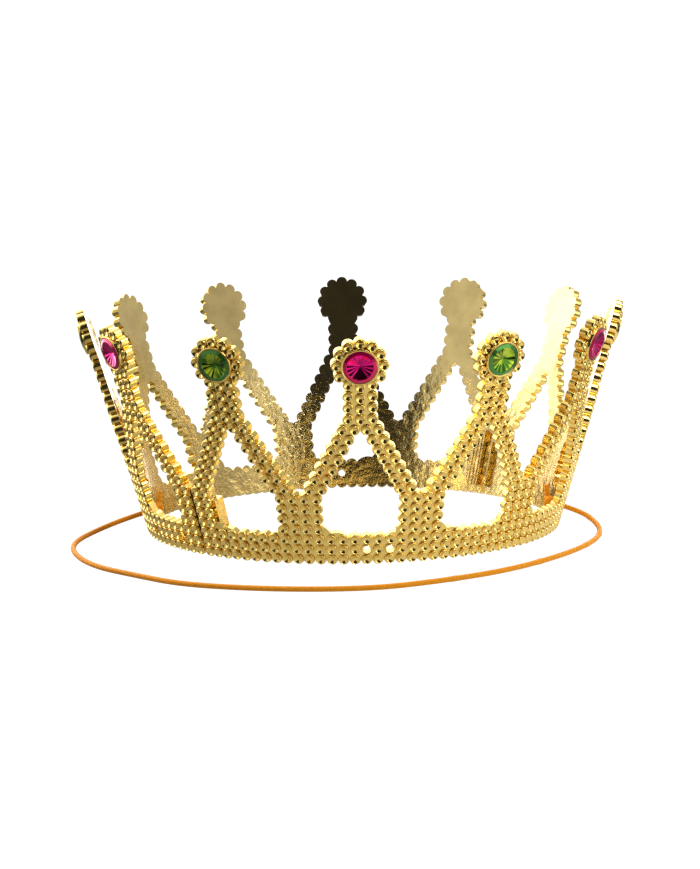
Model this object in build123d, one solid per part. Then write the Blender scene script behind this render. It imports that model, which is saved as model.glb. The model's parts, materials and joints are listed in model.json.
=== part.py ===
from build123d import *
import os
from math import cos, degrees, hypot, pi, radians, sin, tan

# A costume crown: two half mouldings that hook together into a flared ring with twelve pointed
# arches. Each arch carries a round head with a stick-on faceted gem. An elastic is knotted
# through two holes in the band. Millimetres, +Z up, origin at the centre of the circle that the
# crown stands on, front point toward -Y. Angles run from the front toward +X.

# Ring
base_radius = 95.5          # outer face at the height of the lowest row of beads
wall_slant = 16.8           # the wall leans outward by this many degrees from vertical
wall_thickness = 3.8        # back face to the rims of the beads
points_per_half = 6
seam_gap = 1.3              # between the ends of the two halves, at the base
first_seam = -45.0          # angle of the seam where the front half starts

# Bead grid, which every outline follows
bead_diameter = 4.7
columns_per_point = 10
row_pitch = 4.83            # rows of the band and the posts
band_rows = 3
post_rows = 4
leg_rows = 7                # the last one is where both legs have met
leg_row_pitch = 4.66
leg_bead_pitch = 5.2        # side by side, in the legs and the stem
stem_rows = 3
stem_row_pitch = 5.2
notch_reach = 0.6           # web left standing between two edge beads

# Heads and gems
ring_radius = 10.0          # circle of bead centres round a gem
ring_beads = 12
ring_gap = 4.0              # from the last stem row up to the lowest bead of the ring
collar_width = 0.75
collar_rise = 1.0           # above the bead rims
seat_depth = 0.5            # below the bead rims
seat_clearance = 0.15       # between a gem and its collar
gem_diameter = 14.4
gem_facets = 16
gem_girdle = 1.3
gem_bevel = 0.5             # height of the bevel round a gem's flat top
gem_top_share = 0.8         # diameter of the flat top, as a share of the gem's
gem_shift = 0.1             # the gems are stuck on by hand, a little off centre
glue_diameter = 9.0
glue_thickness = 0.2

# Small holes through the second row: (point of the half, column of the point)
hole_diameter = 3.4
hole_row = 2
pin_holes = [(1, 5), (1, 7), (4, 7), (5, 2), (5, 7)]
elastic_hole = (4, 4)

# Hook joint at each seam, on the back face
socket_height = 19.0
socket_middle = 15.0        # height up the wall
socket_wall = 1.4
bar_width = 6.0
bar_height = 27.0
bar_rise = 5.0
groove_count = 3
groove_depth = 0.5
groove_width = 0.9
tongue_reach = 9.0          # past the seam
tongue_thickness = 1.6
tongue_standoff = 0.8       # from the back face
tongue_clearance = 0.3
socket_length = tongue_reach + 2 * tongue_clearance + socket_wall
lip_width = 2.2
latch_width = 5.0
latch_length = 1.7

# Elastic
elastic_diameter = 2.3
knot_diameter = 7.0
knot_length = 5.6
knot_gap = 0.4              # between a knot and the wall that it bears on
knot_tail = 5.0
knot_tail_turn = 115.0      # from the way out of the hole, so the tail points up and inward
hole_run = 12.4             # straight run from a knot out through its hole
route_radius = 95.5         # base radius of the crown that the route below is laid round
loose_route = [
    (-118.5, -11.0, 1.5),
    (-127.0, -36.0, 1.2),
    (-125.5, -62.0, 1.2),
    (-115.0, -91.0, 1.2),
    (-95.0, -113.0, 1.2),
    (-77.0, -131.5, 1.2),
    (-50.0, -143.0, 1.2),
    (-21.0, -149.0, 1.2),
    (7.0, -148.5, 1.2),
    (34.0, -136.5, 1.2),
    (60.0, -120.0, 1.2),
    (82.0, -97.0, 1.2),
    (99.0, -72.5, 1.2),
    (109.5, -47.0, 1.2),
    (111.0, -22.0, 1.8),
]

parts_folder = "parts"

# Worked out from the sizes above
slant = radians(wall_slant)
bead_radius = bead_diameter / 2
base_height = bead_radius * cos(slant)
half_angle = 180.0 - degrees(seam_gap / base_radius)
point_angle = half_angle / points_per_half
column_angle = point_angle / columns_per_point
post_top_row = band_rows + post_rows
leg_top_row = post_top_row + leg_rows
stem_top_row = leg_top_row + stem_rows
gem_radius = gem_diameter / 2
seat_radius = gem_radius + seat_clearance
collar_radius = seat_radius + collar_width
beyond = 3.0                # how far a cutting body stands out of what it cuts


def row_height(row):
    """Distance up the wall from the lowest row of beads to this row."""
    if row <= post_top_row:
        return (row - 1) * row_pitch
    if row <= leg_top_row:
        return row_height(post_top_row) + (row - post_top_row) * leg_row_pitch
    return row_height(leg_top_row) + (row - leg_top_row) * stem_row_pitch


head_height = row_height(stem_top_row) + ring_gap + ring_radius
top_height = head_height + ring_radius + bead_radius


def face_radius(height):
    return base_radius + height * sin(slant)


def wall_plane(angle, height=0.0):
    """Plane on the outer face: x around the ring, y up the wall, z out of the wall."""
    turn = radians(angle)
    radius = face_radius(height)
    origin = (radius * sin(turn), -radius * cos(turn), base_height + height * cos(slant))
    outward = (cos(slant) * sin(turn), -cos(slant) * cos(turn), -sin(slant))
    return Plane(origin=origin, x_dir=(cos(turn), sin(turn), 0), z_dir=outward)


def flat(side, height):
    """Where a spot of the wall, side mm round from a point's middle, lands on its flat plane."""
    radius = face_radius(height)
    turn = side / radius
    return (radius * sin(turn), height - radius * (1 - cos(turn)) * sin(slant))


def column_side(column, row):
    """Distance round the wall from a point's middle to a column of beads."""
    turn = radians((column - (columns_per_point - 1) / 2) * column_angle)
    return turn * face_radius(row_height(row))


def leg_side(row):
    """Distance round the wall from a point's middle to the middle of a two-bead leg."""
    outermost = columns_per_point - 1
    start = (column_side(outermost, post_top_row) + column_side(outermost - 1, post_top_row)) / 2
    share = (row - post_top_row) / leg_rows
    return start + (leg_bead_pitch - start) * share


def notch(near, far):
    """The spot between two edge beads where their arcs meet, on the right of the way there."""
    length = hypot(far[0] - near[0], far[1] - near[1])
    across = ((far[1] - near[1]) / length, (near[0] - far[0]) / length)
    return (
        (near[0] + far[0]) / 2 + across[0] * notch_reach,
        (near[1] + far[1]) / 2 + across[1] * notch_reach,
    )


def scallops(beads, first, last):
    """Arcs from first to last that bulge round each edge bead, on the right of the way there."""
    stops = [first] + [notch(near, far) for near, far in zip(beads, beads[1:])] + [last]
    arcs = []
    for bead, start, end in zip(beads, stops, stops[1:]):
        length = hypot(end[0] - start[0], end[1] - start[1])
        across = ((end[1] - start[1]) / length, (start[0] - end[0]) / length)
        crest = (bead[0] + across[0] * bead_radius, bead[1] + across[1] * bead_radius)
        arcs.append(ThreePointArc(start, crest, end))
    return arcs


def mirrored(beads):
    return [(-x, y) for x, y in reversed(beads)]


def edge_bead(side, row):
    return flat(side, row_height(row))


def point_outline():
    """The outline of one point and a little over its share of the band."""
    spare = columns_per_point + 0.5
    foot = [
        edge_bead(column_side(column, 1), 1) for column in range(-1, columns_per_point + 1)
    ]
    foot_end = edge_bead(column_side(spare, 1), 1)
    foot_end = (foot_end[0], foot_end[1] - notch_reach)
    shoulder = edge_bead(column_side(spare, post_top_row), post_top_row)
    shoulder = (shoulder[0], shoulder[1] + notch_reach)

    rising = [
        edge_bead(column_side(columns_per_point, post_top_row), post_top_row),
        edge_bead(column_side(columns_per_point - 1, post_top_row), post_top_row),
    ]
    for row in range(post_top_row + 1, leg_top_row + 1):
        rising.append(edge_bead(leg_side(row) + leg_bead_pitch / 2, row))
    for row in range(leg_top_row + 1, stem_top_row + 1):
        rising.append(edge_bead(leg_bead_pitch, row))
    for step in range(1, ring_beads // 2):
        turn = 2 * pi * step / ring_beads
        rising.append((ring_radius * sin(turn), head_height - ring_radius * cos(turn)))
    tip = (0, head_height + ring_radius)

    left_foot, left_shoulder = mirrored([shoulder, foot_end])
    edges = scallops(foot, left_foot, foot_end)
    edges.append(Line(foot_end, shoulder))
    edges += scallops(rising + [tip] + mirrored(rising), shoulder, left_shoulder)
    edges.append(Line(left_shoulder, left_foot))
    return make_face(Wire(edges).edges())


def window_outline():
    """The arched window under one point."""
    post_column = columns_per_point - 2
    falling = [
        edge_bead(leg_side(row) - leg_bead_pitch / 2, row)
        for row in range(leg_top_row, post_top_row, -1)
    ]
    falling += [
        edge_bead(column_side(post_column, row), row)
        for row in range(post_top_row, band_rows, -1)
    ]
    sill = [
        edge_bead(column_side(column, band_rows), band_rows)
        for column in range(post_column - 1, columns_per_point - post_column, -1)
    ]
    loop = falling + sill + mirrored(falling)
    start = notch(loop[-1], loop[0])
    return make_face(Wire(scallops(loop, start, start)).edges())


def through(outline):
    """An outline on the front point's flat plane, pushed right through the curved wall."""
    sag = face_radius(top_height) * (1 - cos(radians(point_angle / 2 + column_angle)))
    depth = wall_thickness + sag + beyond
    flat_plane = wall_plane(0)
    raised = flat_plane * Pos(0, 0, beyond) * outline
    return extrude(raised, amount=depth + beyond, dir=-flat_plane.z_dir)


def wall_sector():
    """The plain flared wall over the angle of one point, centred on the front."""
    corners = []
    for height, depth in (
        (-bead_diameter, 0),
        (top_height + beyond, 0),
        (top_height + beyond, wall_thickness),
        (-bead_diameter, wall_thickness),
    ):
        radius = face_radius(height) - depth * cos(slant)
        corners.append((0, -radius, base_height + height * cos(slant) + depth * sin(slant)))
    section = Rot(0, 0, -point_angle / 2) * make_face(Polyline(*corners, close=True))
    return revolve(section, Axis.Z, revolution_arc=point_angle)


def along(plane, side, height, low, high, radius):
    """A round bar square to the wall, from low to high out of the plane."""
    bar = Cylinder(radius, high - low, align=(Align.CENTER, Align.CENTER, Align.MIN))
    return plane * Pos(side, height, low) * bar


def block(plane, sides, heights, depths):
    """A box on a wall plane, from its low to its high side, height and depth."""
    spans = (sides, heights, depths)
    box = Box(*[high - low for low, high in spans])
    return plane * Pos(*[(high + low) / 2 for low, high in spans]) * box


def one_point():
    """One arched point with its window, its collar and the seat of its gem."""
    point = wall_sector() & through(point_outline())
    point -= through(window_outline())
    plane = wall_plane(0)
    point += along(plane, 0, head_height, -seat_depth - 1, collar_rise, collar_radius)
    point -= along(plane, 0, head_height, -seat_depth, collar_rise + beyond, seat_radius)
    return point


def half_start(half):
    """Angle at which a half's own wall starts, half a gap past the middle of the seam."""
    return first_seam + half * 180.0 + (180.0 - half_angle) / 2


def column_angle_at(half, point, column):
    middle = half_start(half) + (point + 0.5) * point_angle
    return middle + (column - (columns_per_point - 1) / 2) * column_angle


def hole_plane(half, spot):
    return wall_plane(column_angle_at(half, *spot), row_height(hole_row))


def socket(plane):
    """Channel on the starting end of a half, with a grooved bar beside the seam."""
    back = -wall_thickness
    edge = seam_gap / 2
    far = edge + socket_length
    middle = socket_middle
    roof = back - tongue_standoff - tongue_thickness - tongue_clearance
    low, high = middle - socket_height / 2, middle + socket_height / 2
    root = back + 1.0
    body = block(plane, (edge, far), (low, high), (roof - socket_wall, root))
    bar_low = middle - bar_height / 2
    bar_span, bar_face = (bar_low, bar_low + bar_height), back - bar_rise
    body += block(plane, (edge, edge + bar_width), bar_span, (bar_face, root))
    for groove in range(groove_count):
        near = edge + bar_width * (groove + 0.5) / groove_count - groove_width / 2
        body -= block(
            plane, (near, near + groove_width), bar_span, (bar_face, bar_face + groove_depth)
        )
    inside = (low + socket_wall, high - socket_wall)
    channel = block(plane, (edge - beyond, far - socket_wall), inside, (roof, back))
    near, end = latch_span()
    latch_half = latch_width / 2 + tongue_clearance
    latch = block(
        plane,
        (near - tongue_clearance, end + tongue_clearance),
        (middle - latch_half, middle + latch_half),
        (roof - socket_wall - beyond, roof),
    )
    return body - channel - latch


def latch_span():
    """Where the tongue's hook starts and ends, round from the middle of the seam."""
    return (tongue_reach - latch_length, tongue_reach)


def tongue(plane):
    """Lip on the finishing end of a half, and the hooked tongue that reaches past the seam."""
    back = -wall_thickness
    edge = -seam_gap / 2
    middle = socket_middle
    outer = back - tongue_standoff
    inner = outer - tongue_thickness
    reach = socket_height / 2 - socket_wall - tongue_clearance
    bar_low = middle - bar_height / 2
    lip = block(plane, (edge - lip_width, edge), (bar_low, bar_low + bar_height), (inner, back + 1.0))
    plate = block(
        plane, (edge - lip_width, tongue_reach), (middle - reach, middle + reach), (inner, outer)
    )
    hook = block(
        plane,
        latch_span(),
        (middle - latch_width / 2, middle + latch_width / 2),
        (inner - socket_wall, inner),
    )
    return lip + plate + hook


def half_panel(half):
    """One half moulding: six points in a row, its holes, and a socket and tongue at the ends."""
    first = one_point()
    start = half_start(half)
    points = [
        Rot(0, 0, start + (index + 0.5) * point_angle) * first
        for index in range(points_per_half)
    ]
    panel = points[0].fuse(*points[1:])
    seam = first_seam + half * 180.0
    panel = panel.fuse(socket(wall_plane(seam)), tongue(wall_plane(seam + 180.0)))
    for spot in pin_holes + [elastic_hole]:
        bore = along(
            hole_plane(half, spot), 0, 0, -wall_thickness - beyond, beyond, hole_diameter / 2
        )
        panel -= bore
    return panel


def gem_plane(number):
    """Plane of a gem's seat floor, counted from the first point of the front half."""
    half, point = divmod(number, points_per_half)
    middle = half_start(half) + (point + 0.5) * point_angle
    return wall_plane(middle, head_height) * Pos(0, 0, -seat_depth)


def gem(number):
    """A flat-backed gem: a many-sided girdle under a bevelled flat top."""
    turn = 2.4 * number
    shift = Pos(gem_shift * cos(turn), gem_shift * sin(turn), glue_thickness)
    outline = RegularPolygon(gem_radius, gem_facets)
    girdle = extrude(outline, gem_girdle)
    top = RegularPolygon(gem_radius * gem_top_share, gem_facets)
    low, high = Pos(0, 0, gem_girdle), Pos(0, 0, gem_girdle + gem_bevel)
    crown = loft([low * outline.face(), high * top.face()], ruled=True)
    return gem_plane(number) * shift * (girdle + crown)


def glue_dot(number):
    dot = Cylinder(
        glue_diameter / 2, glue_thickness, align=(Align.CENTER, Align.CENTER, Align.MIN)
    )
    return gem_plane(number) * dot


def knot_face(plane):
    """The hole's plane moved in to a knot's face toward the wall."""
    return plane * Pos(0, 0, -wall_thickness - knot_gap)


def knot(plane):
    """A knot pulled up on the elastic behind its hole, with a short cut tail."""
    body = Cylinder(
        knot_diameter / 2, knot_length, align=(Align.CENTER, Align.CENTER, Align.MAX)
    )
    body = fillet(body.edges().filter_by(GeomType.CIRCLE), knot_length / 3)
    tail_length = knot_diameter / 2 + knot_tail
    tail = Cylinder(
        elastic_diameter / 2, tail_length, align=(Align.CENTER, Align.CENTER, Align.MIN)
    )
    tail = Pos(0, 0, -knot_length / 2) * Rot(-knot_tail_turn, 0, 0) * tail
    return knot_face(plane) * (body + tail)


def elastic_route():
    """Corner points of the elastic, from the left knot round the front to the right knot."""
    left = hole_plane(1, elastic_hole)
    right = hole_plane(0, elastic_hole)
    ends = [
        [(knot_face(plane) * Pos(0, 0, depth)).position for depth in (0, hole_run)]
        for plane in (left, right)
    ]
    spread = base_radius / route_radius
    loose = [Vector(x * spread, y * spread, z) for x, y, z in loose_route]
    return ends[0] + loose + ends[1][::-1]


def elastic():
    """The elastic as a tube along straight runs joined by the largest arcs that they allow."""
    route = elastic_route()
    radii = []
    for before, corner, after in zip(route, route[1:], route[2:]):
        turn = radians((corner - before).get_angle(after - corner))
        run = min((corner - before).length, (after - corner).length)
        radii.append(0.45 * run / tan(turn / 2))
    path = FilletPolyline(*route, radius=radii)
    runs = [(far - near).length for near, far in zip(route, route[1:])]
    print("elastic radii", [round(radius, 1) for radius in radii])
    print("elastic runs", [round(run, 1) for run in runs])
    section = Plane(origin=route[0], z_dir=route[1] - route[0]) * Circle(elastic_diameter / 2)
    tube = sweep(section, path=path)
    expected = pi * (elastic_diameter / 2) ** 2 * path.length
    print("elastic length", round(path.length, 1), "volume share", round(tube.volume / expected, 4))
    return tube


def write(shape, node):
    export_step(shape, os.path.join(parts_folder, node + ".step"))
    print(node, "volume", round(shape.volume, 1))


os.makedirs(parts_folder, exist_ok=True)
for half, panel_name in enumerate(("front_half_panel", "rear_half_panel")):
    write(half_panel(half), panel_name)
for number in range(2 * points_per_half):
    colour = ("green", "pink")[number % 2]
    write(gem(number), f"gem_{number + 1:02d}_{colour}")
    write(glue_dot(number), f"glue_dot_{number + 1:02d}")
write(elastic(), "elastic_cord")
write(knot(hole_plane(1, elastic_hole)), "left_knot")
write(knot(hole_plane(0, elastic_hole)), "right_knot")
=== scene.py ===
import json
import math

import bmesh
import bpy
from mathutils import Matrix, Vector

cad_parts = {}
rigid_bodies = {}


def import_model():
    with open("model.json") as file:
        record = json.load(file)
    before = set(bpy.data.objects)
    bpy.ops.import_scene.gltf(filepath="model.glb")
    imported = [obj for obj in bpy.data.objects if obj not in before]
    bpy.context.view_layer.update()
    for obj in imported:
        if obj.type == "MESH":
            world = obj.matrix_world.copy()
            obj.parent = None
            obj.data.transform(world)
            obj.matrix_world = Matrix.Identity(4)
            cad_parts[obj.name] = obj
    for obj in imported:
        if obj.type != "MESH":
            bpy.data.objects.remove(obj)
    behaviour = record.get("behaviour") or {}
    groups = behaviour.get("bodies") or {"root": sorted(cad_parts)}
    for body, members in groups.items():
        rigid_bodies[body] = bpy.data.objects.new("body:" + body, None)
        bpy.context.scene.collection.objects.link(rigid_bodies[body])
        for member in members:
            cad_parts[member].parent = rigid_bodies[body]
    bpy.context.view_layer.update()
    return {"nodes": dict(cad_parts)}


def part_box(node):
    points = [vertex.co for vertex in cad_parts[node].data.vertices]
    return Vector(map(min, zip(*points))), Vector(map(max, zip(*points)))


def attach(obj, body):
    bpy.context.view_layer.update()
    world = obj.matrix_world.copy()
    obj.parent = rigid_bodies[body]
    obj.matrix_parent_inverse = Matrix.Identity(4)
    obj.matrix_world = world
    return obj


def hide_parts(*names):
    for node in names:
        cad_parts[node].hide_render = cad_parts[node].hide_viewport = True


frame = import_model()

bl_info = {
    "name": "Costume crown",
    "version": (1, 0, 0),
    "blender": (4, 5, 0),
    "location": "View3D > Sidebar > Crown",
    "description": "Builds a beaded costume crown with gems and an elastic round its frame",
    "category": "Add Mesh",
}

MM = 0.001
HALVES = ("front_half_panel", "rear_half_panel")
GEM_NODES = sorted(node for node in frame["nodes"] if node.startswith("gem_"))
GLUE_NODES = sorted(node for node in frame["nodes"] if node.startswith("glue_"))


# ---------------------------------------------------------------- sizes and colours


def length(name, description, millimetres):
    return bpy.props.FloatProperty(
        name=name, description=description, default=millimetres * MM, unit="LENGTH", precision=5
    )


def colour(name, description, default):
    return bpy.props.FloatVectorProperty(
        name=name, description=description, default=default, subtype="COLOR", min=0, max=1
    )


class CrownSizes(bpy.types.PropertyGroup):
    base_radius: length("Base radius", "Bead rims of the lowest row", 95.5)
    wall_slant: bpy.props.FloatProperty(
        name="Wall slant", description="Lean of the wall outward", subtype="ANGLE",
        default=math.radians(16.8),
    )
    wall_thickness: length("Wall", "Back face to bead rims", 3.8)
    seam_gap: length("Seam gap", "Between the two halves at the base", 1.3)
    first_seam: bpy.props.FloatProperty(
        name="First seam", description="Where the front half starts, from the front point",
        subtype="ANGLE", default=math.radians(-45),
    )
    points: bpy.props.IntProperty(name="Points", description="Points of one half", default=6)
    columns: bpy.props.IntProperty(name="Columns", description="Columns of a point", default=10)
    bead_radius: length("Bead radius", "Outside of a bead's rim", 2.35)
    row_pitch: length("Row pitch", "Rows of the band and the posts", 4.83)
    leg_pitch: length("Leg row pitch", "Rows of the slanting legs", 4.66)
    pair_pitch: length("Pair pitch", "Side by side in a leg", 5.2)
    stem_pitch: length("Stem row pitch", "Rows below a head", 5.2)
    stem_dip: length("Stem dip", "Middle beads of the stem sit this much lower, per row", 0.35)
    ring_radius: length("Ring radius", "Bead centres round a gem", 10.0)
    ring_gap: length("Ring gap", "Last stem row to the ring's lowest bead", 4.0)
    recess: length("Recess", "Web between the beads, below their rims", 0.95)
    seat_radius: length("Seat radius", "Inside of a gem's collar", 7.35)
    collar_width: length("Collar width", "Wall of a gem's collar", 0.75)
    collar_rise: length("Collar rise", "Collar above the bead rims", 1.0)
    gem_radius: length("Gem radius", "Outside of a gem", 7.2)
    hole_radius: length("Hole radius", "Small holes of the band", 1.7)
    elastic: length("Elastic", "Diameter of the elastic", 2.3)


class CrownColours(bpy.types.PropertyGroup):
    gold: colour("Gold", "Metallised beads and edges", (0.93, 0.67, 0.19))
    gold_back: colour("Back", "Metallised back faces", (0.84, 0.64, 0.26))
    pink: colour("Pink", "Facets of the pink gems", (1.0, 0.0, 0.24))
    pink_deep: colour("Deep pink", "Facets where the tint is deeper", (0.40, 0.0, 0.10))
    pink_edge: colour("Pink edge", "Bevel and girdle of the pink gems", (0.65, 0.002, 0.09))
    green: colour("Green", "Facets of the green gems", (0.38, 0.50, 0.02))
    green_deep: colour("Deep green", "Facets where the tint is deeper", (0.05, 0.15, 0.005))
    green_edge: colour("Green edge", "Bevel and girdle of the green gems", (0.05, 0.21, 0.02))
    elastic: colour("Elastic", "Braided sheath", (0.95, 0.36, 0.012))
    # Painted shade: the sheath's colour at its left end, darker where less light falls on it.
    elastic_painted_shade: colour("Elastic shade", "Sheath where it has darkened", (0.85, 0.30, 0.006))
    glue: colour("Glue", "Dried glue", (0.80, 0.78, 0.70))


def sizes():
    return bpy.context.scene.crown_sizes


def colours():
    return bpy.context.scene.crown_colours


# ---------------------------------------------------------------- the wall and its bead grid

BAND_ROWS, POST_ROWS, LEG_ROWS, STEM_ROWS, RING_BEADS = 3, 4, 7, 3, 12
POST_TOP = BAND_ROWS + POST_ROWS
LEG_TOP = POST_TOP + LEG_ROWS
STEM_TOP = LEG_TOP + STEM_ROWS
HOLE_ROW = 2
HOLES = ((1, 5), (1, 7), (4, 4), (4, 7), (5, 2), (5, 7))
ELASTIC_HOLE = (4, 4)


def row_height(row):
    s = sizes()
    height = (min(row, POST_TOP) - 1) * s.row_pitch
    height += max(0, min(row, LEG_TOP) - POST_TOP) * s.leg_pitch
    return height + max(0, row - LEG_TOP) * s.stem_pitch


def head_height():
    return row_height(STEM_TOP) + sizes().ring_gap + sizes().ring_radius


def face_radius(height):
    return sizes().base_radius + height * math.sin(sizes().wall_slant)


def half_span():
    return math.pi - sizes().seam_gap / sizes().base_radius


def point_angle():
    return half_span() / sizes().points


def point_middle(half, point):
    start = sizes().first_seam + half * math.pi + (math.pi - half_span()) / 2
    return start + (point + 0.5) * point_angle()


def column_turn(column):
    return (column - (sizes().columns - 1) / 2) * point_angle() / sizes().columns


def wall_matrix(turn, height, out=0.0):
    """Place on the wall: x round the ring, y up the wall, z out of it."""
    s = sizes()
    slant = s.wall_slant
    radius = face_radius(height)
    outward = Vector((
        math.cos(slant) * math.sin(turn), -math.cos(slant) * math.cos(turn), -math.sin(slant)
    ))
    round_ring = Vector((math.cos(turn), math.sin(turn), 0))
    up_wall = outward.cross(round_ring)
    foot = s.bead_radius * math.cos(slant)
    place = Vector((
        radius * math.sin(turn), -radius * math.cos(turn), foot + height * math.cos(slant)
    )) + outward * out
    matrix = Matrix((round_ring, up_wall, outward)).transposed().to_4x4()
    matrix.translation = place
    return matrix


def depth_of(place):
    """How far a spot stands out of the cone through the bead rims."""
    slant = sizes().wall_slant
    foot = sizes().bead_radius * math.cos(slant)
    radius = math.hypot(place.x, place.y) - sizes().base_radius
    return radius * math.cos(slant) - (place.z - foot) * math.sin(slant)


def leg_side(row):
    """Distance from a point's middle to the middle of its two-bead leg."""
    s = sizes()
    outer = s.columns - 1
    start = (column_turn(outer) + column_turn(outer - 1)) / 2 * face_radius(row_height(POST_TOP))
    return start + (s.pair_pitch - start) * (row - POST_TOP) / LEG_ROWS


def point_beads(point):
    """Turn and height of every bead of one point, and of the holes that replace some."""
    s = sizes()
    beads, holes = [], []
    for row in range(1, POST_TOP + 1):
        for column in range(s.columns):
            if row > BAND_ROWS and 1 < column < s.columns - 2:
                continue
            group = holes if row == HOLE_ROW and (point, column) in HOLES else beads
            group.append((column_turn(column), row_height(row)))
    for row in range(POST_TOP + 1, LEG_TOP + 1):
        height = row_height(row)
        for side in (-1, 1):
            for step in (-0.5, 0.5):
                across = side * leg_side(row) + step * s.pair_pitch
                beads.append((across / face_radius(height), height))
    for row in range(LEG_TOP + 1, STEM_TOP + 1):
        height = row_height(row)
        for step in (-1, 0, 1):
            dip = s.stem_dip * (row - LEG_TOP) if step == 0 else 0
            beads.append((step * s.pair_pitch / face_radius(height), height - dip))
    for step in range(RING_BEADS):
        turn = math.tau * step / RING_BEADS
        height = head_height() + s.ring_radius * math.cos(turn)
        beads.append((s.ring_radius * math.sin(turn) / face_radius(height), height))
    return beads, holes


# ---------------------------------------------------------------- modelling helpers


def deselect():
    if bpy.context.object and bpy.context.object.mode != "OBJECT":
        bpy.ops.object.mode_set(mode="OBJECT")
    bpy.ops.object.select_all(action="DESELECT")


def activate(piece):
    deselect()
    piece.select_set(True)
    bpy.context.view_layer.objects.active = piece


def lathe_template(name, sides, profile):
    """A turned shape from a circle that is extruded ring by ring along the profile."""
    deselect()
    radius, foot = profile[0]
    bpy.ops.mesh.primitive_circle_add(
        vertices=sides, radius=radius, fill_type="NGON", location=(0, 0, foot)
    )
    piece = bpy.context.object
    piece.name = name
    bpy.ops.object.transform_apply(location=True, rotation=True, scale=True)
    bpy.ops.object.mode_set(mode="EDIT")
    bpy.ops.mesh.select_all(action="SELECT")
    for (radius, height), (next_radius, next_height) in zip(profile, profile[1:]):
        share, rise = next_radius / radius, next_height - height
        bpy.ops.mesh.extrude_region_move(TRANSFORM_OT_translate={"value": (0, 0, rise)})
        bpy.ops.transform.resize(value=(share, share, 1))
    bpy.ops.object.mode_set(mode="OBJECT")
    return piece


def facts(piece, capped=True):
    """A template's corners and faces as plain lists, with or without its round end faces.

    The template itself is deleted.
    """
    mesh = piece.data
    corners = [vertex.co.copy() for vertex in mesh.vertices]
    faces = [tuple(face.vertices) for face in mesh.polygons if capped or len(face.vertices) == 4]
    bpy.data.objects.remove(piece)
    bpy.data.meshes.remove(mesh)
    return corners, faces


def place_copies(corners, faces, shape, matrices):
    """Adds one copy of a template to the lists for each matrix."""
    shape_corners, shape_faces = shape
    for matrix in matrices:
        first = len(corners)
        corners.extend(matrix @ corner for corner in shape_corners)
        faces.extend(tuple(first + index for index in face) for face in shape_faces)


def mesh_piece(name, corners, faces):
    mesh = bpy.data.meshes.new(name)
    mesh.from_pydata([tuple(corner) for corner in corners], [], faces)
    mesh.update()
    piece = bpy.data.objects.new(name, mesh)
    bpy.context.scene.collection.objects.link(piece)
    return piece


def smooth(piece, degrees):
    activate(piece)
    bpy.ops.object.shade_smooth_by_angle(angle=math.radians(degrees))
    deselect()


def recalculate(piece):
    activate(piece)
    bpy.ops.object.mode_set(mode="EDIT")
    bpy.ops.mesh.select_all(action="SELECT")
    bpy.ops.mesh.normals_make_consistent(inside=False)
    bpy.ops.object.mode_set(mode="OBJECT")
    deselect()


# ---------------------------------------------------------------- materials


def new_material(name):
    material = bpy.data.materials.new(name)
    material.use_nodes = True
    nodes = material.node_tree.nodes
    return material, nodes, material.node_tree.links, nodes["Principled BSDF"]


def noise(nodes, links, coordinates, scale, detail=3.0):
    texture = nodes.new("ShaderNodeTexNoise")
    texture.inputs["Scale"].default_value = scale
    texture.inputs["Detail"].default_value = detail
    links.new(coordinates, texture.inputs["Vector"])
    return texture.outputs["Fac"]


def ramp(nodes, links, value, low, high, low_colour, high_colour):
    mapped = nodes.new("ShaderNodeValToRGB")
    mapped.color_ramp.elements[0].position = low
    mapped.color_ramp.elements[1].position = high
    mapped.color_ramp.elements[0].color = (*low_colour, 1)
    mapped.color_ramp.elements[1].color = (*high_colour, 1)
    links.new(value, mapped.inputs["Fac"])
    return mapped.outputs["Color"]


def spread(nodes, links, value, low, high):
    """The low and high results for a value of 0 and 1."""
    mapped = nodes.new("ShaderNodeMapRange")
    mapped.inputs["To Min"].default_value = low
    mapped.inputs["To Max"].default_value = high
    links.new(value, mapped.inputs["Value"])
    return mapped.outputs["Result"]


def share_between(nodes, links, value, low, high):
    """0 to 1 for a value from low to high."""
    mapped = nodes.new("ShaderNodeMapRange")
    mapped.inputs["From Min"].default_value = low
    mapped.inputs["From Max"].default_value = high
    links.new(value, mapped.inputs["Value"])
    return mapped.outputs["Result"]


def math_node(nodes, links, operation, *values):
    """A sum or other operation on sockets and plain numbers."""
    node = nodes.new("ShaderNodeMath")
    node.operation = operation
    for socket, value in zip(node.inputs, values):
        if isinstance(value, (int, float)):
            socket.default_value = value
        else:
            links.new(value, socket)
    return node.outputs["Value"]


def bump(nodes, links, shader, height, distance, strength=1.0):
    node = nodes.new("ShaderNodeBump")
    node.inputs["Strength"].default_value = strength
    node.inputs["Distance"].default_value = distance
    links.new(height, node.inputs["Height"])
    links.new(node.outputs["Normal"], shader.inputs["Normal"])


def object_place(nodes):
    return nodes.new("ShaderNodeTexCoord").outputs["Object"]


def mottled(nodes, links, shader, pattern, contrast, light, shade):
    """The light colour with patches that are darker by a share; contrast 0.5 is the hardest."""
    dark = tuple(channel * shade for channel in light)
    mixed = ramp(nodes, links, pattern, contrast, 1 - contrast, dark, tuple(light))
    links.new(mixed, shader.inputs["Base Color"])


def gold_material():
    """Vacuum-metallised plastic: mirror gold with faint mould waviness."""
    material, nodes, links, shader = new_material("metallised_gold")
    place = object_place(nodes)
    patches = noise(nodes, links, place, scale=350.0)
    mottled(nodes, links, shader, patches, 0.35, colours().gold, shade=0.86)
    shader.inputs["Metallic"].default_value = 1.0
    gloss = noise(nodes, links, place, scale=900.0)
    links.new(spread(nodes, links, gloss, 0.08, 0.20), shader.inputs["Roughness"])
    waves = noise(nodes, links, place, scale=420.0)
    bump(nodes, links, shader, waves, distance=0.05 * MM)
    return material


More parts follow.
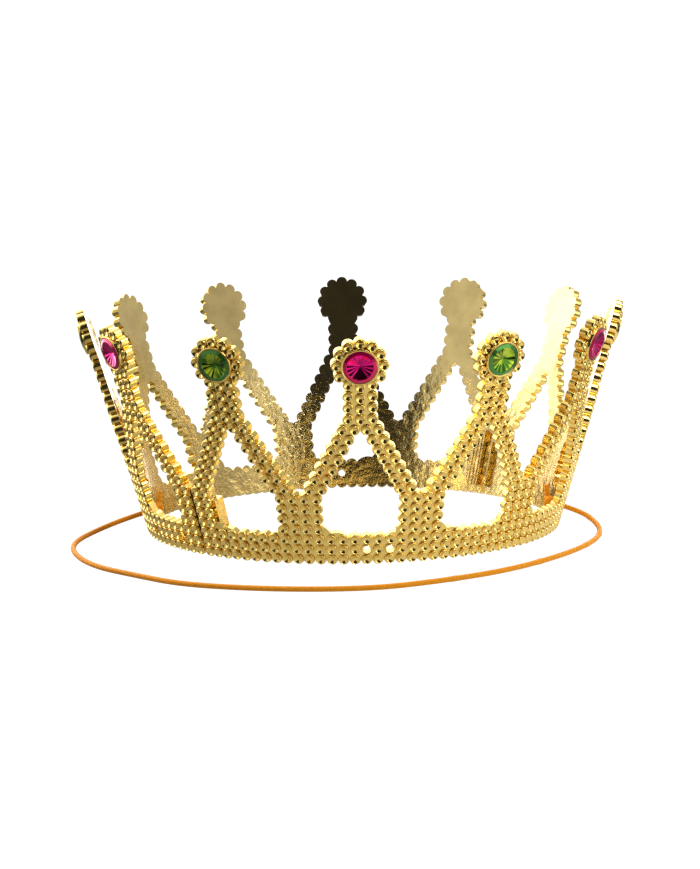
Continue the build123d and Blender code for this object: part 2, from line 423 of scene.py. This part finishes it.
CRINKLE_TOP = 75       # the crumpled film fades out at this height, in millimetres
CRINKLE_FULL = 45      # and is full at this one


def back_material():
    """Flat back of the mouldings: the same film with a fine grit, and crumpled low down."""
    material, nodes, links, shader = new_material("satin_gold")
    place = object_place(nodes)
    patches = noise(nodes, links, place, scale=120.0, detail=5.0)
    mottled(nodes, links, shader, patches, 0.38, colours().gold_back, shade=0.84)
    shader.inputs["Metallic"].default_value = 1.0
    gloss = noise(nodes, links, place, scale=260.0)
    links.new(spread(nodes, links, gloss, 0.07, 0.17), shader.inputs["Roughness"])
    axes = nodes.new("ShaderNodeSeparateXYZ")
    links.new(place, axes.inputs["Vector"])
    low = share_between(nodes, links, axes.outputs["Z"], CRINKLE_TOP * MM, CRINKLE_FULL * MM)
    folds = noise(nodes, links, place, scale=280.0, detail=6.0)
    crinkle = math_node(nodes, links, "MULTIPLY", folds, low)
    grains = noise(nodes, links, place, scale=1400.0, detail=4.0)
    grit = math_node(nodes, links, "MULTIPLY", grains, 0.10)
    rough = math_node(nodes, links, "ADD", crinkle, grit)
    bump(nodes, links, shader, rough, distance=0.5 * MM)
    return material


def glaze(shader, metallic, roughness):
    """Tinted mirror film under a thin clear coat."""
    shader.inputs["Metallic"].default_value = metallic
    shader.inputs["Roughness"].default_value = roughness
    shader.inputs["Coat Weight"].default_value = 0.3
    shader.inputs["Coat Roughness"].default_value = 0.03


def gem_materials(name, tint, deep, rim):
    """Mirror-backed facets of a tinted gem, and its bevel and girdle."""
    facets, nodes, links, shader = new_material(name + "_facets")
    patches = noise(nodes, links, object_place(nodes), scale=170.0, detail=2.0)
    mixed = ramp(nodes, links, patches, 0.42, 0.56, deep, tint)
    links.new(mixed, shader.inputs["Base Color"])
    glaze(shader, metallic=1.0, roughness=0.06)
    bevel, nodes, links, shader = new_material(name + "_bevel")
    shader.inputs["Base Color"].default_value = (*rim, 1)
    glaze(shader, metallic=0.6, roughness=0.12)
    return facets, bevel


BRAID_SLOPE = math.radians(38)
BRAID_GROOVE_SHADE = (0.75, 0.6, 0.4)        # painted shade in the grooves between the strands
PAINTED_SHADE_SPAN = (-125, 20)     # millimetres along x; painted shade: the sheath is darker towards the first


def braid(nodes, links):
    """Height of two sets of strands that cross on the sheath's own coordinates."""
    along = nodes.new("ShaderNodeUVMap")
    along.uv_map = "sheath"
    strands = []
    for slope in (BRAID_SLOPE, -BRAID_SLOPE):
        turned = nodes.new("ShaderNodeMapping")
        turned.inputs["Rotation"].default_value = (0, 0, slope)
        links.new(along.outputs["UV"], turned.inputs["Vector"])
        wave = nodes.new("ShaderNodeTexWave")
        wave.inputs["Scale"].default_value = 2.2
        wave.inputs["Distortion"].default_value = 0.6
        links.new(turned.outputs["Vector"], wave.inputs["Vector"])
        strands.append(wave.outputs["Fac"])
    return math_node(nodes, links, "MAXIMUM", *strands)


def elastic_material():
    """Braided sheath: two sets of crossing strands, over a rubber core, with painted shade in the
    grooves and towards its left end.
    """
    material, nodes, links, shader = new_material("braided_elastic")
    woven = braid(nodes, links)
    axes = nodes.new("ShaderNodeSeparateXYZ")
    links.new(object_place(nodes), axes.inputs["Vector"])
    # Painted shade: the sheath's colour darkens towards its left end, in place of the weaker
    # light on that side.
    shade_share = share_between(nodes, links, axes.outputs["X"], *(place * MM for place in PAINTED_SHADE_SPAN))
    shaded_colour, lit_colour = tuple(colours().elastic_painted_shade), tuple(colours().elastic)
    mixed = nodes.new("ShaderNodeMix")
    mixed.data_type = "RGBA"
    mixed.blend_type = "MULTIPLY"
    mixed.inputs["Factor"].default_value = 0.55
    links.new(ramp(nodes, links, shade_share, 0.0, 1.0, shaded_colour, lit_colour), mixed.inputs["A"])
    # Painted shade: the grooves between the strands are darker than the strands.
    links.new(ramp(nodes, links, woven, 0.2, 0.9, BRAID_GROOVE_SHADE, (1, 1, 1)), mixed.inputs["B"])
    links.new(mixed.outputs["Result"], shader.inputs["Base Color"])
    shader.inputs["Roughness"].default_value = 0.6
    shader.inputs["Specular IOR Level"].default_value = 0.15
    bump(nodes, links, shader, woven, distance=0.2 * MM, strength=0.8)
    return material


def glue_material():
    material, nodes, links, shader = new_material("dried_glue")
    patches = noise(nodes, links, object_place(nodes), scale=300.0)
    mottled(nodes, links, shader, patches, 0.3, colours().glue, shade=0.85)
    shader.inputs["Roughness"].default_value = 0.35
    return material


# ---------------------------------------------------------------- the half mouldings

BEAD_SIDES = 12
BEAD_RINGS = (         # radius and height of each ring of a bead, in millimetres
    (2.36, -1.15), (2.33, -0.26), (2.14, 0.0), (1.82, 0.0), (1.66, -0.26), (1.05, -0.42),
    (0.62, -0.84),
)
EYELET_RINGS = ((2.36, -1.15), (2.33, -0.24), (2.05, 0.0), (1.78, -0.12))
EYELET_SIDES = 24
COLLAR_SIDES = 56
COLLAR_SPREAD = (0.03, 0.05)   # millimetres past the plain collar, inside and outside
COLLAR_LIFT = 0.08             # millimetres above it
COLLAR_ROOT = 0.2              # millimetres from the web down to the outer foot
MOULDING_CREASE = 55           # degrees; sharper edges stay sharp
SAME_SPOT = 2e-6               # metres; corners closer than this are one
FACE_REACH = 0.04              # millimetres; corners this near the rims' cone are the outer face
BACK_REACH = 0.1               # millimetres; faces this near the back, or past it, are the back


def bead_shape():
    profile = [(radius * MM, height * MM) for radius, height in BEAD_RINGS]
    return facts(lathe_template("bead", BEAD_SIDES, profile))


def eyelet_shape():
    """A bead's rim round one of the small holes, open all through."""
    profile = [(radius * MM, height * MM) for radius, height in EYELET_RINGS]
    profile.append((sizes().hole_radius, profile[0][1]))
    return facts(lathe_template("eyelet", EYELET_SIDES, profile), capped=False)


def collar_shape():
    """The raised collar round a gem, with a rounded lip."""
    s = sizes()
    inward, outward = (reach * MM for reach in COLLAR_SPREAD)
    inner, outer = s.seat_radius - inward, s.seat_radius + s.collar_width + outward
    top = s.collar_rise + COLLAR_LIFT * MM
    foot = -s.recess - COLLAR_ROOT * MM
    lip = (outer - inner) * 0.3
    side_turn, top_turn = lip * 0.35, lip * 0.3      # the middle corner of each rounded edge
    profile = [
        (outer, foot), (outer, top - lip), (outer - side_turn, top - top_turn),
        (outer - lip, top), (inner + lip, top), (inner + side_turn, top - top_turn),
        (inner, top - lip), (inner, foot + 0.5 * MM),
    ]
    return facts(lathe_template("collar", COLLAR_SIDES, profile), capped=False)


def recessed_copy(node):
    """A copy of a half's plain wall whose outer face lies back at the web between the beads."""
    source = bpy.data.objects[node]
    form = bmesh.new()
    form.from_mesh(source.data)
    bmesh.ops.remove_doubles(form, verts=form.verts, dist=SAME_SPOT)
    slant = sizes().wall_slant
    for vertex in form.verts:
        if abs(depth_of(vertex.co)) < FACE_REACH * MM:
            flat = Vector((vertex.co.x, vertex.co.y, 0)).normalized()
            outward = flat * math.cos(slant) - Vector((0, 0, math.sin(slant)))
            vertex.co -= outward * sizes().recess
    corners = [vertex.co.copy() for vertex in form.verts]
    faces = [tuple(vertex.index for vertex in face.verts) for face in form.faces]
    form.free()
    return corners, faces


def half_moulding(half, node, shapes, materials):
    """One half: its plain wall with a bead, eyelet or collar at each place of the grid."""
    bead, eyelet, collar = shapes
    corners, faces = recessed_copy(node)
    plain_faces = len(faces)
    for point in range(sizes().points):
        middle = point_middle(half, point)
        beads, holes = point_beads(point)
        for shape, spots in ((bead, beads), (eyelet, holes), (collar, [(0, head_height())])):
            matrices = [wall_matrix(middle + turn, height) for turn, height in spots]
            place_copies(corners, faces, shape, matrices)
    piece = mesh_piece(node.replace("panel", "moulding"), corners, faces)
    mesh = piece.data
    for material in materials:
        mesh.materials.append(material)
    back_depth = -sizes().wall_thickness + BACK_REACH * MM
    for face in mesh.polygons[:plain_faces]:
        face.material_index = int(depth_of(face.center) < back_depth)
    smooth(piece, MOULDING_CREASE)
    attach(piece, "root")
    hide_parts(node)


class CROWN_OT_mouldings(bpy.types.Operator):
    """Models the two beaded half mouldings round their plain walls"""

    bl_idname = "crown.mouldings"
    bl_label = "Half mouldings"
    bl_options = {"REGISTER", "UNDO"}

    def execute(self, context):
        shapes = (bead_shape(), eyelet_shape(), collar_shape())
        materials = (gold_material(), back_material())
        for half, node in enumerate(HALVES):
            half_moulding(half, node, shapes, materials)
        return {"FINISHED"}


# ---------------------------------------------------------------- gems and glue

GEM_SIDES = 32
FLUTE_RING = 0.775     # where the facets start, as a share of the gem's radius
FLUTE_DEPTH = 0.20     # every other corner of that ring lies this much lower, in millimetres
GEM_RINGS = (          # share of the gem's radius, and height in millimetres
    (0.975, 0.0), (1.0, 0.2), (1.0, 1.35), (0.80, 1.85), (FLUTE_RING, 1.72), (0.006, 0.15),
)
RING_REACH = 0.005     # corners this near a ring belong to it, as a share of the radius
SEAT_DEPTH = 0.3       # from the bead rims down to a gem's back, in millimetres


def gem_matrix(node):
    """Place of a gem's flat back, a little off the middle of its collar as the node is."""
    number = int(node.split("_")[1]) - 1
    middle = point_middle(*divmod(number, sizes().points))
    head = wall_matrix(middle, head_height())
    low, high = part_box(node)
    off = head.inverted() @ ((low + high) / 2)
    return head @ Matrix.Translation((off.x, off.y, -SEAT_DEPTH * MM))


def gem(node, materials):
    """A bevelled band round mirror facets that fall away to the middle of the back."""
    radius = sizes().gem_radius
    profile = [(radius * share, height * MM) for share, height in GEM_RINGS]
    piece = lathe_template(node + "_stone", GEM_SIDES, profile)
    mesh = piece.data
    ring = [
        vertex for vertex in mesh.vertices
        if abs(vertex.co.xy.length - radius * FLUTE_RING) < radius * RING_REACH
    ]
    ring.sort(key=lambda vertex: math.atan2(vertex.co.y, vertex.co.x))
    for vertex in ring[::2]:
        vertex.co.z -= FLUTE_DEPTH * MM
    for material in materials:
        mesh.materials.append(material)
    for face in mesh.polygons:
        across = max(mesh.vertices[index].co.xy.length for index in face.vertices)
        face.material_index = int(across > radius * (FLUTE_RING + RING_REACH))
    mesh.transform(gem_matrix(node))
    mesh.shade_flat()
    recalculate(piece)
    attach(piece, "root")
    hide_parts(node)


class CROWN_OT_gems(bpy.types.Operator):
    """Cuts the twelve stick-on gems and finishes the glue under them"""

    bl_idname = "crown.gems"
    bl_label = "Gems and glue"
    bl_options = {"REGISTER", "UNDO"}

    def execute(self, context):
        finishes = {
            tint: gem_materials(
                tint, *(tuple(getattr(colours(), tint + part)) for part in ("", "_deep", "_edge"))
            )
            for tint in ("pink", "green")
        }
        for node in GEM_NODES:
            gem(node, finishes[node.split("_")[2]])
        glue = glue_material()
        for node in GLUE_NODES:
            for slot in bpy.data.objects[node].material_slots:
                slot.material = glue
        return {"FINISHED"}


# ---------------------------------------------------------------- elastic and knots

# places and lengths are in millimetres
LOOSE_ROUTE = (
    (-118.5, -11.0, 1.5), (-127.0, -36.0, 1.2), (-125.5, -62.0, 1.2), (-115.0, -91.0, 1.2),
    (-95.0, -113.0, 1.2), (-77.0, -131.5, 1.2), (-50.0, -143.0, 1.2), (-21.0, -149.0, 1.2),
    (7.0, -148.5, 1.2), (34.0, -136.5, 1.2), (60.0, -120.0, 1.2), (82.0, -97.0, 1.2),
    (99.0, -72.5, 1.2), (109.5, -47.0, 1.2), (111.0, -22.0, 1.8),
)
KNOT_GAP = 0.4
HOLE_RUN = 12.4
SHEATH_SIDES = 14
SHEATH_STEP = 1.2
SHEATH_CREASE = 60             # degrees
SLUBS = (                      # thick spots: share of the length, and of the radius
    (0.63, 0.10), (0.74, 0.13), (0.83, 0.10), (0.885, 0.15), (0.93, 0.12), (0.955, 0.10),
)
SLUB_SPREAD = 0.004
KNOT_STEP = 0.5
KNOT_POINTS = 15
KNOT_TURNS = 1.55
KNOT_START = 0.6               # radians round the hole
KNOT_COIL = (2.05, 0.45)       # its radius, and how much that swells and shrinks
KNOT_DEPTH = (-2.9, 1.25)      # its depth behind the wall, and how much that rises and falls
KNOT_LEAD = ((0, 0, 0), (0, 0, -0.8))
KNOT_TAIL = ((0.6, 1.2, -3.4), (0.3, 3.4, -4.4), (0.1, 5.6, -5.2), (0, 7.4, -5.9))


def hole_matrix(half):
    point, column = ELASTIC_HOLE
    return wall_matrix(point_middle(half, point) + column_turn(column), row_height(HOLE_ROW))


def hole_ends(half):
    """Where the elastic meets its knot, and where it turns outside the hole."""
    inner = -sizes().wall_thickness - KNOT_GAP * MM
    place = hole_matrix(half)
    return [place @ Vector((0, 0, depth)) for depth in (inner, inner + HOLE_RUN * MM)]


def route_points():
    left, right = hole_ends(1), hole_ends(0)
    return left + [Vector(point) * MM for point in LOOSE_ROUTE] + right[::-1]


def nurbs(name, points):
    """A curve that starts at the first point, ends at the last and rounds the ones between."""
    line = bpy.data.curves.new(name, "CURVE")
    line.dimensions = "3D"
    line.resolution_u = 12
    spline = line.splines.new("NURBS")
    spline.points.add(len(points) - 1)
    for control, point in zip(spline.points, points):
        control.co = (*point, 1)
    spline.order_u = 3
    spline.use_endpoint_u = True
    return bpy.data.objects.new(name, line)


def points_along(curve):
    """The points that a curve passes through; the curve itself is deleted."""
    bpy.context.scene.collection.objects.link(curve)
    bpy.context.view_layer.update()
    graph = bpy.context.evaluated_depsgraph_get()
    mesh = bpy.data.meshes.new_from_object(curve.evaluated_get(graph))
    points = [vertex.co.copy() for vertex in mesh.vertices]
    bpy.data.meshes.remove(mesh)
    bpy.data.objects.remove(curve)
    return points


def even_points(points, step):
    """The same line with its points a step apart."""
    kept = [points[0]]
    carried = 0.0
    for near, far in zip(points, points[1:]):
        run = (far - near).length
        place = step - carried
        while place <= run:
            kept.append(near.lerp(far, place / run))
            place += step
        carried = run - (place - step)
    if (kept[-1] - points[-1]).length > step * 0.3:
        kept.append(points[-1])
    else:
        kept[-1] = points[-1]
    return kept


def slub_share(share):
    """How much thicker the sheath is at a share of its length."""
    return sum(
        size * math.exp(-(((share - place) / SLUB_SPREAD) ** 2)) for place, size in SLUBS
    )


def line_length(path):
    return sum((far - near).length for near, far in zip(path, path[1:]))


def sheath(name, path, material, radius):
    """A tube along a path, with braid coordinates and a few thick spots."""
    total = line_length(path)
    corners, faces, coordinates = [], [], []
    side = Vector((0, 0, 1))
    run = 0.0
    runs = []
    for index, point in enumerate(path):
        before, after = path[max(index - 1, 0)], path[min(index + 1, len(path) - 1)]
        ahead = (after - before).normalized()
        side = (side - ahead * side.dot(ahead)).normalized()
        across = ahead.cross(side)
        if index:
            run += (point - path[index - 1]).length
        runs.append(run)
        width = radius * (1 + slub_share(run / total))
        for step in range(SHEATH_SIDES):
            turn = math.tau * step / SHEATH_SIDES
            corners.append(point + (side * math.cos(turn) + across * math.sin(turn)) * width)
    for index in range(len(path) - 1):
        for step in range(SHEATH_SIDES):
            low, high = index * SHEATH_SIDES, (index + 1) * SHEATH_SIDES
            after = (step + 1) % SHEATH_SIDES
            faces.append((low + step, high + step, high + after, low + after))
            strip = (step / SHEATH_SIDES, (step + 1) / SHEATH_SIDES)
            coordinates += [
                (runs[index], strip[0]), (runs[index + 1], strip[0]),
                (runs[index + 1], strip[1]), (runs[index], strip[1]),
            ]
    last = (len(path) - 1) * SHEATH_SIDES
    faces.append(tuple(range(SHEATH_SIDES)))
    faces.append(tuple(last + step for step in reversed(range(SHEATH_SIDES))))
    coordinates += [(0, step / SHEATH_SIDES) for step in range(SHEATH_SIDES)]
    coordinates += [(total, step / SHEATH_SIDES) for step in reversed(range(SHEATH_SIDES))]
    piece = mesh_piece(name, corners, faces)
    layer = piece.data.uv_layers.new(name="sheath")
    around = math.tau * radius
    for spot, (run_here, share) in zip(layer.data, coordinates):
        spot.uv = (run_here / around * 2, share * 2)
    piece.data.materials.append(material)
    recalculate(piece)
    smooth(piece, SHEATH_CREASE)
    return piece


def tie_knot(half, name, material):
    """An overhand knot pulled up tight, with a short cut tail."""
    radius = sizes().elastic / 2
    place = hole_matrix(half) @ Matrix.Translation(
        (0, 0, -sizes().wall_thickness - KNOT_GAP * MM)
    )
    coil = []
    for step in range(KNOT_POINTS):
        turn = math.tau * KNOT_TURNS * step / KNOT_POINTS
        wide = KNOT_COIL[0] + KNOT_COIL[1] * math.cos(3 * turn)
        deep = KNOT_DEPTH[0] + KNOT_DEPTH[1] * math.sin(1.5 * turn + 0.4)
        aim = turn + KNOT_START
        coil.append((wide * math.cos(aim), wide * math.sin(aim), deep))
    spots = [Vector(spot) * MM for spot in (*KNOT_LEAD, *coil, *KNOT_TAIL)]
    points = points_along(nurbs(name + "_line", spots))
    path = [place @ point for point in even_points(points, KNOT_STEP * MM)]
    piece = sheath(name + "_knot_tied", path, material, radius)
    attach(piece, "root")
    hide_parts(name + "_knot")
    return piece


class CROWN_OT_elastic(bpy.types.Operator):
    """Lays the braided elastic from knot to knot in front of the crown"""

    bl_idname = "crown.elastic"
    bl_label = "Elastic"
    bl_options = {"REGISTER", "UNDO"}

    def execute(self, context):
        points = points_along(nurbs("elastic_line", route_points()))
        path = even_points(points, SHEATH_STEP * MM)
        diameter = sizes().elastic
        material = elastic_material()
        cord = sheath("elastic", path, material, diameter / 2)
        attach(cord, "root")
        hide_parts("elastic_cord")
        knots = [tie_knot(half, name, material) for half, name in ((1, "left"), (0, "right"))]
        return {"FINISHED"}


# ---------------------------------------------------------------- stage

CAMERA_DISTANCE = 1.310                    # metres
CAMERA_HEIGHT_ANGLE = math.radians(9.06)
CAMERA_TURN = math.radians(-1.606)
CAMERA_ROLL = math.radians(-0.98)
CAMERA_LENS = 117.7                        # millimetres, on a sensor this wide
CAMERA_SENSOR = 36.0
CAMERA_SHIFT = (-0.0024, 0.0045)
CAMERA_RANGE = (0.05, 30.0)
LOOK_HEIGHT = 0.040


def add_camera():
    """A long lens that looks a little down at the front, from a little to its left."""
    back = Vector((
        math.sin(CAMERA_TURN) * math.cos(CAMERA_HEIGHT_ANGLE),
        -math.cos(CAMERA_TURN) * math.cos(CAMERA_HEIGHT_ANGLE),
        math.sin(CAMERA_HEIGHT_ANGLE),
    ))
    right = (-back).cross(Vector((0, 0, 1))).normalized()
    up = right.cross(-back)
    roll = Matrix.Rotation(CAMERA_ROLL, 3, back)
    data = bpy.data.cameras.new("camera")
    camera = bpy.data.objects.new("camera", data)
    bpy.context.scene.collection.objects.link(camera)
    turn = roll @ Matrix((right, up, back)).transposed()
    camera.matrix_world = Matrix.Translation(
        Vector((0, 0, LOOK_HEIGHT)) + back * CAMERA_DISTANCE
    ) @ turn.to_4x4()
    data.lens = CAMERA_LENS
    data.sensor_width = CAMERA_SENSOR
    data.shift_x, data.shift_y = CAMERA_SHIFT
    data.clip_start, data.clip_end = CAMERA_RANGE
    bpy.context.scene.camera = camera


LIGHTS = (             # name, place, width and height in metres, watts and tint
    ("key", (0.613, -0.514, 1.024), (0.5, 0.5), 6.0, (1, 0.98, 0.95)),
    ("fill", (-1.0, 0.6, 0.9), (0.4, 0.8), 3.0, (1, 1, 1)),
)
LIGHT_AIM = (0, 0, 0.05)


def area_light(name, place, size, power, tint):
    data = bpy.data.lights.new(name, "AREA")
    data.shape = "RECTANGLE"
    data.size, data.size_y = size
    data.energy = power
    data.color = tint
    light = bpy.data.objects.new(name, data)
    light.location = place
    ahead = Vector(LIGHT_AIM) - Vector(place)
    light.rotation_euler = ahead.to_track_quat("-Z", "Y").to_euler()
    bpy.context.scene.collection.objects.link(light)


STUDIO = (             # round from the front, up from level, both in degrees; then brightness
    ((39, 47), (12, 62), 1.5),
    ((39, 78), (-22, 12), 2.4),
    ((47, 105), (12, 62), 0.45),
    ((78, 105), (-12, 12), 0.8),
    ((105, 148), (-12, 62), 0.55),
    ((148, 181), (-12, 62), 3.0),
    ((-181, -95), (-12, 62), 3.0),
    ((-95, -42), (-12, 62), 0.7),
    ((-181, 181), (62, 91), 1.1),
    ((60, 181), (-91, -12), 0.25),
    ((-181, -60), (-91, -12), 0.15),
)
STUDIO_SOFTNESS = math.radians(4)
STUDIO_DARK = 0.03
BACKDROP_WHITE = 1.1


def seen_white(nodes, links, strength):
    """The given strength, and plain white where the camera looks straight at it."""
    mixed = nodes.new("ShaderNodeMix")
    links.new(nodes.new("ShaderNodeLightPath").outputs["Is Camera Ray"], mixed.inputs["Factor"])
    links.new(strength, mixed.inputs["A"])
    mixed.inputs["B"].default_value = BACKDROP_WHITE
    return mixed.outputs["Result"]


def edge(nodes, links, value, place, rising):
    """A soft step from 0 to 1 at a place, or from 1 to 0 if it doesn't rise."""
    node = nodes.new("ShaderNodeMapRange")
    node.interpolation_type = "SMOOTHSTEP"
    node.inputs["From Min"].default_value = place - STUDIO_SOFTNESS
    node.inputs["From Max"].default_value = place + STUDIO_SOFTNESS
    node.inputs["To Min"].default_value = 0.0 if rising else 1.0
    node.inputs["To Max"].default_value = 1.0 if rising else 0.0
    links.new(value, node.inputs["Value"])
    return node.outputs["Result"]


def add_world():
    """A dark studio with large white screens round it, and white where the camera looks."""
    world = bpy.data.worlds.new("studio")
    world.use_nodes = True
    bpy.context.scene.world = world
    nodes, links = world.node_tree.nodes, world.node_tree.links
    axes = nodes.new("ShaderNodeSeparateXYZ")
    links.new(nodes.new("ShaderNodeTexCoord").outputs["Generated"], axes.inputs["Vector"])
    ahead = math_node(nodes, links, "MULTIPLY", axes.outputs["Y"], -1.0)
    turn = math_node(nodes, links, "ARCTAN2", axes.outputs["X"], ahead)
    rise = math_node(nodes, links, "ARCSINE", axes.outputs["Z"])
    total = STUDIO_DARK
    for turns, rises, brightness in STUDIO:
        patch = brightness
        for value, (low, high) in ((turn, turns), (rise, rises)):
            for place, rising in ((low, True), (high, False)):
                limit = edge(nodes, links, value, math.radians(place), rising)
                patch = math_node(nodes, links, "MULTIPLY", patch, limit)
        total = math_node(nodes, links, "ADD", total, patch)
    links.new(seen_white(nodes, links, total), nodes["Background"].inputs["Strength"])
    nodes["Background"].inputs["Color"].default_value = (1, 1, 1, 1)


TABLE_FRONT = -0.27
TABLE_SIZE = (0.34, 0.47)      # width and depth, in metres
TABLE_GLOW = (0.19, 1.2)       # brightness at its left and right edges


def add_floor():
    """A small white table top that glows more towards the right."""
    deselect()
    wide, deep = TABLE_SIZE
    bpy.ops.mesh.primitive_plane_add(size=1, location=(0, TABLE_FRONT + deep / 2, 0))
    floor = bpy.context.object
    floor.name = "table"
    floor.scale = (wide, deep, 1)
    bpy.ops.object.transform_apply(location=True, rotation=True, scale=True)
    material = bpy.data.materials.new("white_table")
    material.use_nodes = True
    nodes, links = material.node_tree.nodes, material.node_tree.links
    nodes.remove(nodes["Principled BSDF"])
    across = nodes.new("ShaderNodeSeparateXYZ")
    links.new(object_place(nodes), across.inputs["Vector"])
    place = share_between(nodes, links, across.outputs["X"], -wide / 2, wide / 2)
    glow = nodes.new("ShaderNodeEmission")
    lit = seen_white(nodes, links, spread(nodes, links, place, *TABLE_GLOW))
    links.new(lit, glow.inputs["Strength"])
    links.new(glow.outputs["Emission"], nodes["Material Output"].inputs["Surface"])
    floor.data.materials.append(material)
    deselect()


class CROWN_OT_stage(bpy.types.Operator):
    """Sets up the floor, the studio light and the camera"""

    bl_idname = "crown.stage"
    bl_label = "Stage"
    bl_options = {"REGISTER", "UNDO"}

    def execute(self, context):
        add_camera()
        add_world()
        add_floor()
        for light in LIGHTS:
            area_light(*light)
        bpy.context.scene.view_settings.view_transform = "Standard"
        return {"FINISHED"}


# ---------------------------------------------------------------- panel and registration


class CROWN_PT_sidebar(bpy.types.Panel):
    """Lists the steps that build the crown, with its sizes and colours"""

    bl_idname = "CROWN_PT_sidebar"
    bl_label = "Costume crown"
    bl_space_type = "VIEW_3D"
    bl_region_type = "UI"
    bl_category = "Crown"

    def draw(self, context):
        for step in STEPS:
            self.layout.operator(step.bl_idname)
        for group in (context.scene.crown_sizes, context.scene.crown_colours):
            box = self.layout.box()
            for name in group.bl_rna.properties.keys():
                if name not in ("rna_type", "name"):
                    box.prop(group, name)


STEPS = (CROWN_OT_stage, CROWN_OT_elastic, CROWN_OT_mouldings, CROWN_OT_gems)
CLASSES = (CrownSizes, CrownColours, *STEPS, CROWN_PT_sidebar)


def register():
    for item in CLASSES:
        bpy.utils.register_class(item)
    bpy.types.Scene.crown_sizes = bpy.props.PointerProperty(type=CrownSizes)
    bpy.types.Scene.crown_colours = bpy.props.PointerProperty(type=CrownColours)


def unregister():
    del bpy.types.Scene.crown_colours
    del bpy.types.Scene.crown_sizes
    for item in reversed(CLASSES):
        bpy.utils.unregister_class(item)


def main():
    register()
    bpy.ops.crown.stage()
    bpy.ops.crown.elastic()
    bpy.ops.crown.mouldings()
    bpy.ops.crown.gems()
    bpy.context.view_layer.update()


if __name__ == "__main__":
    main()
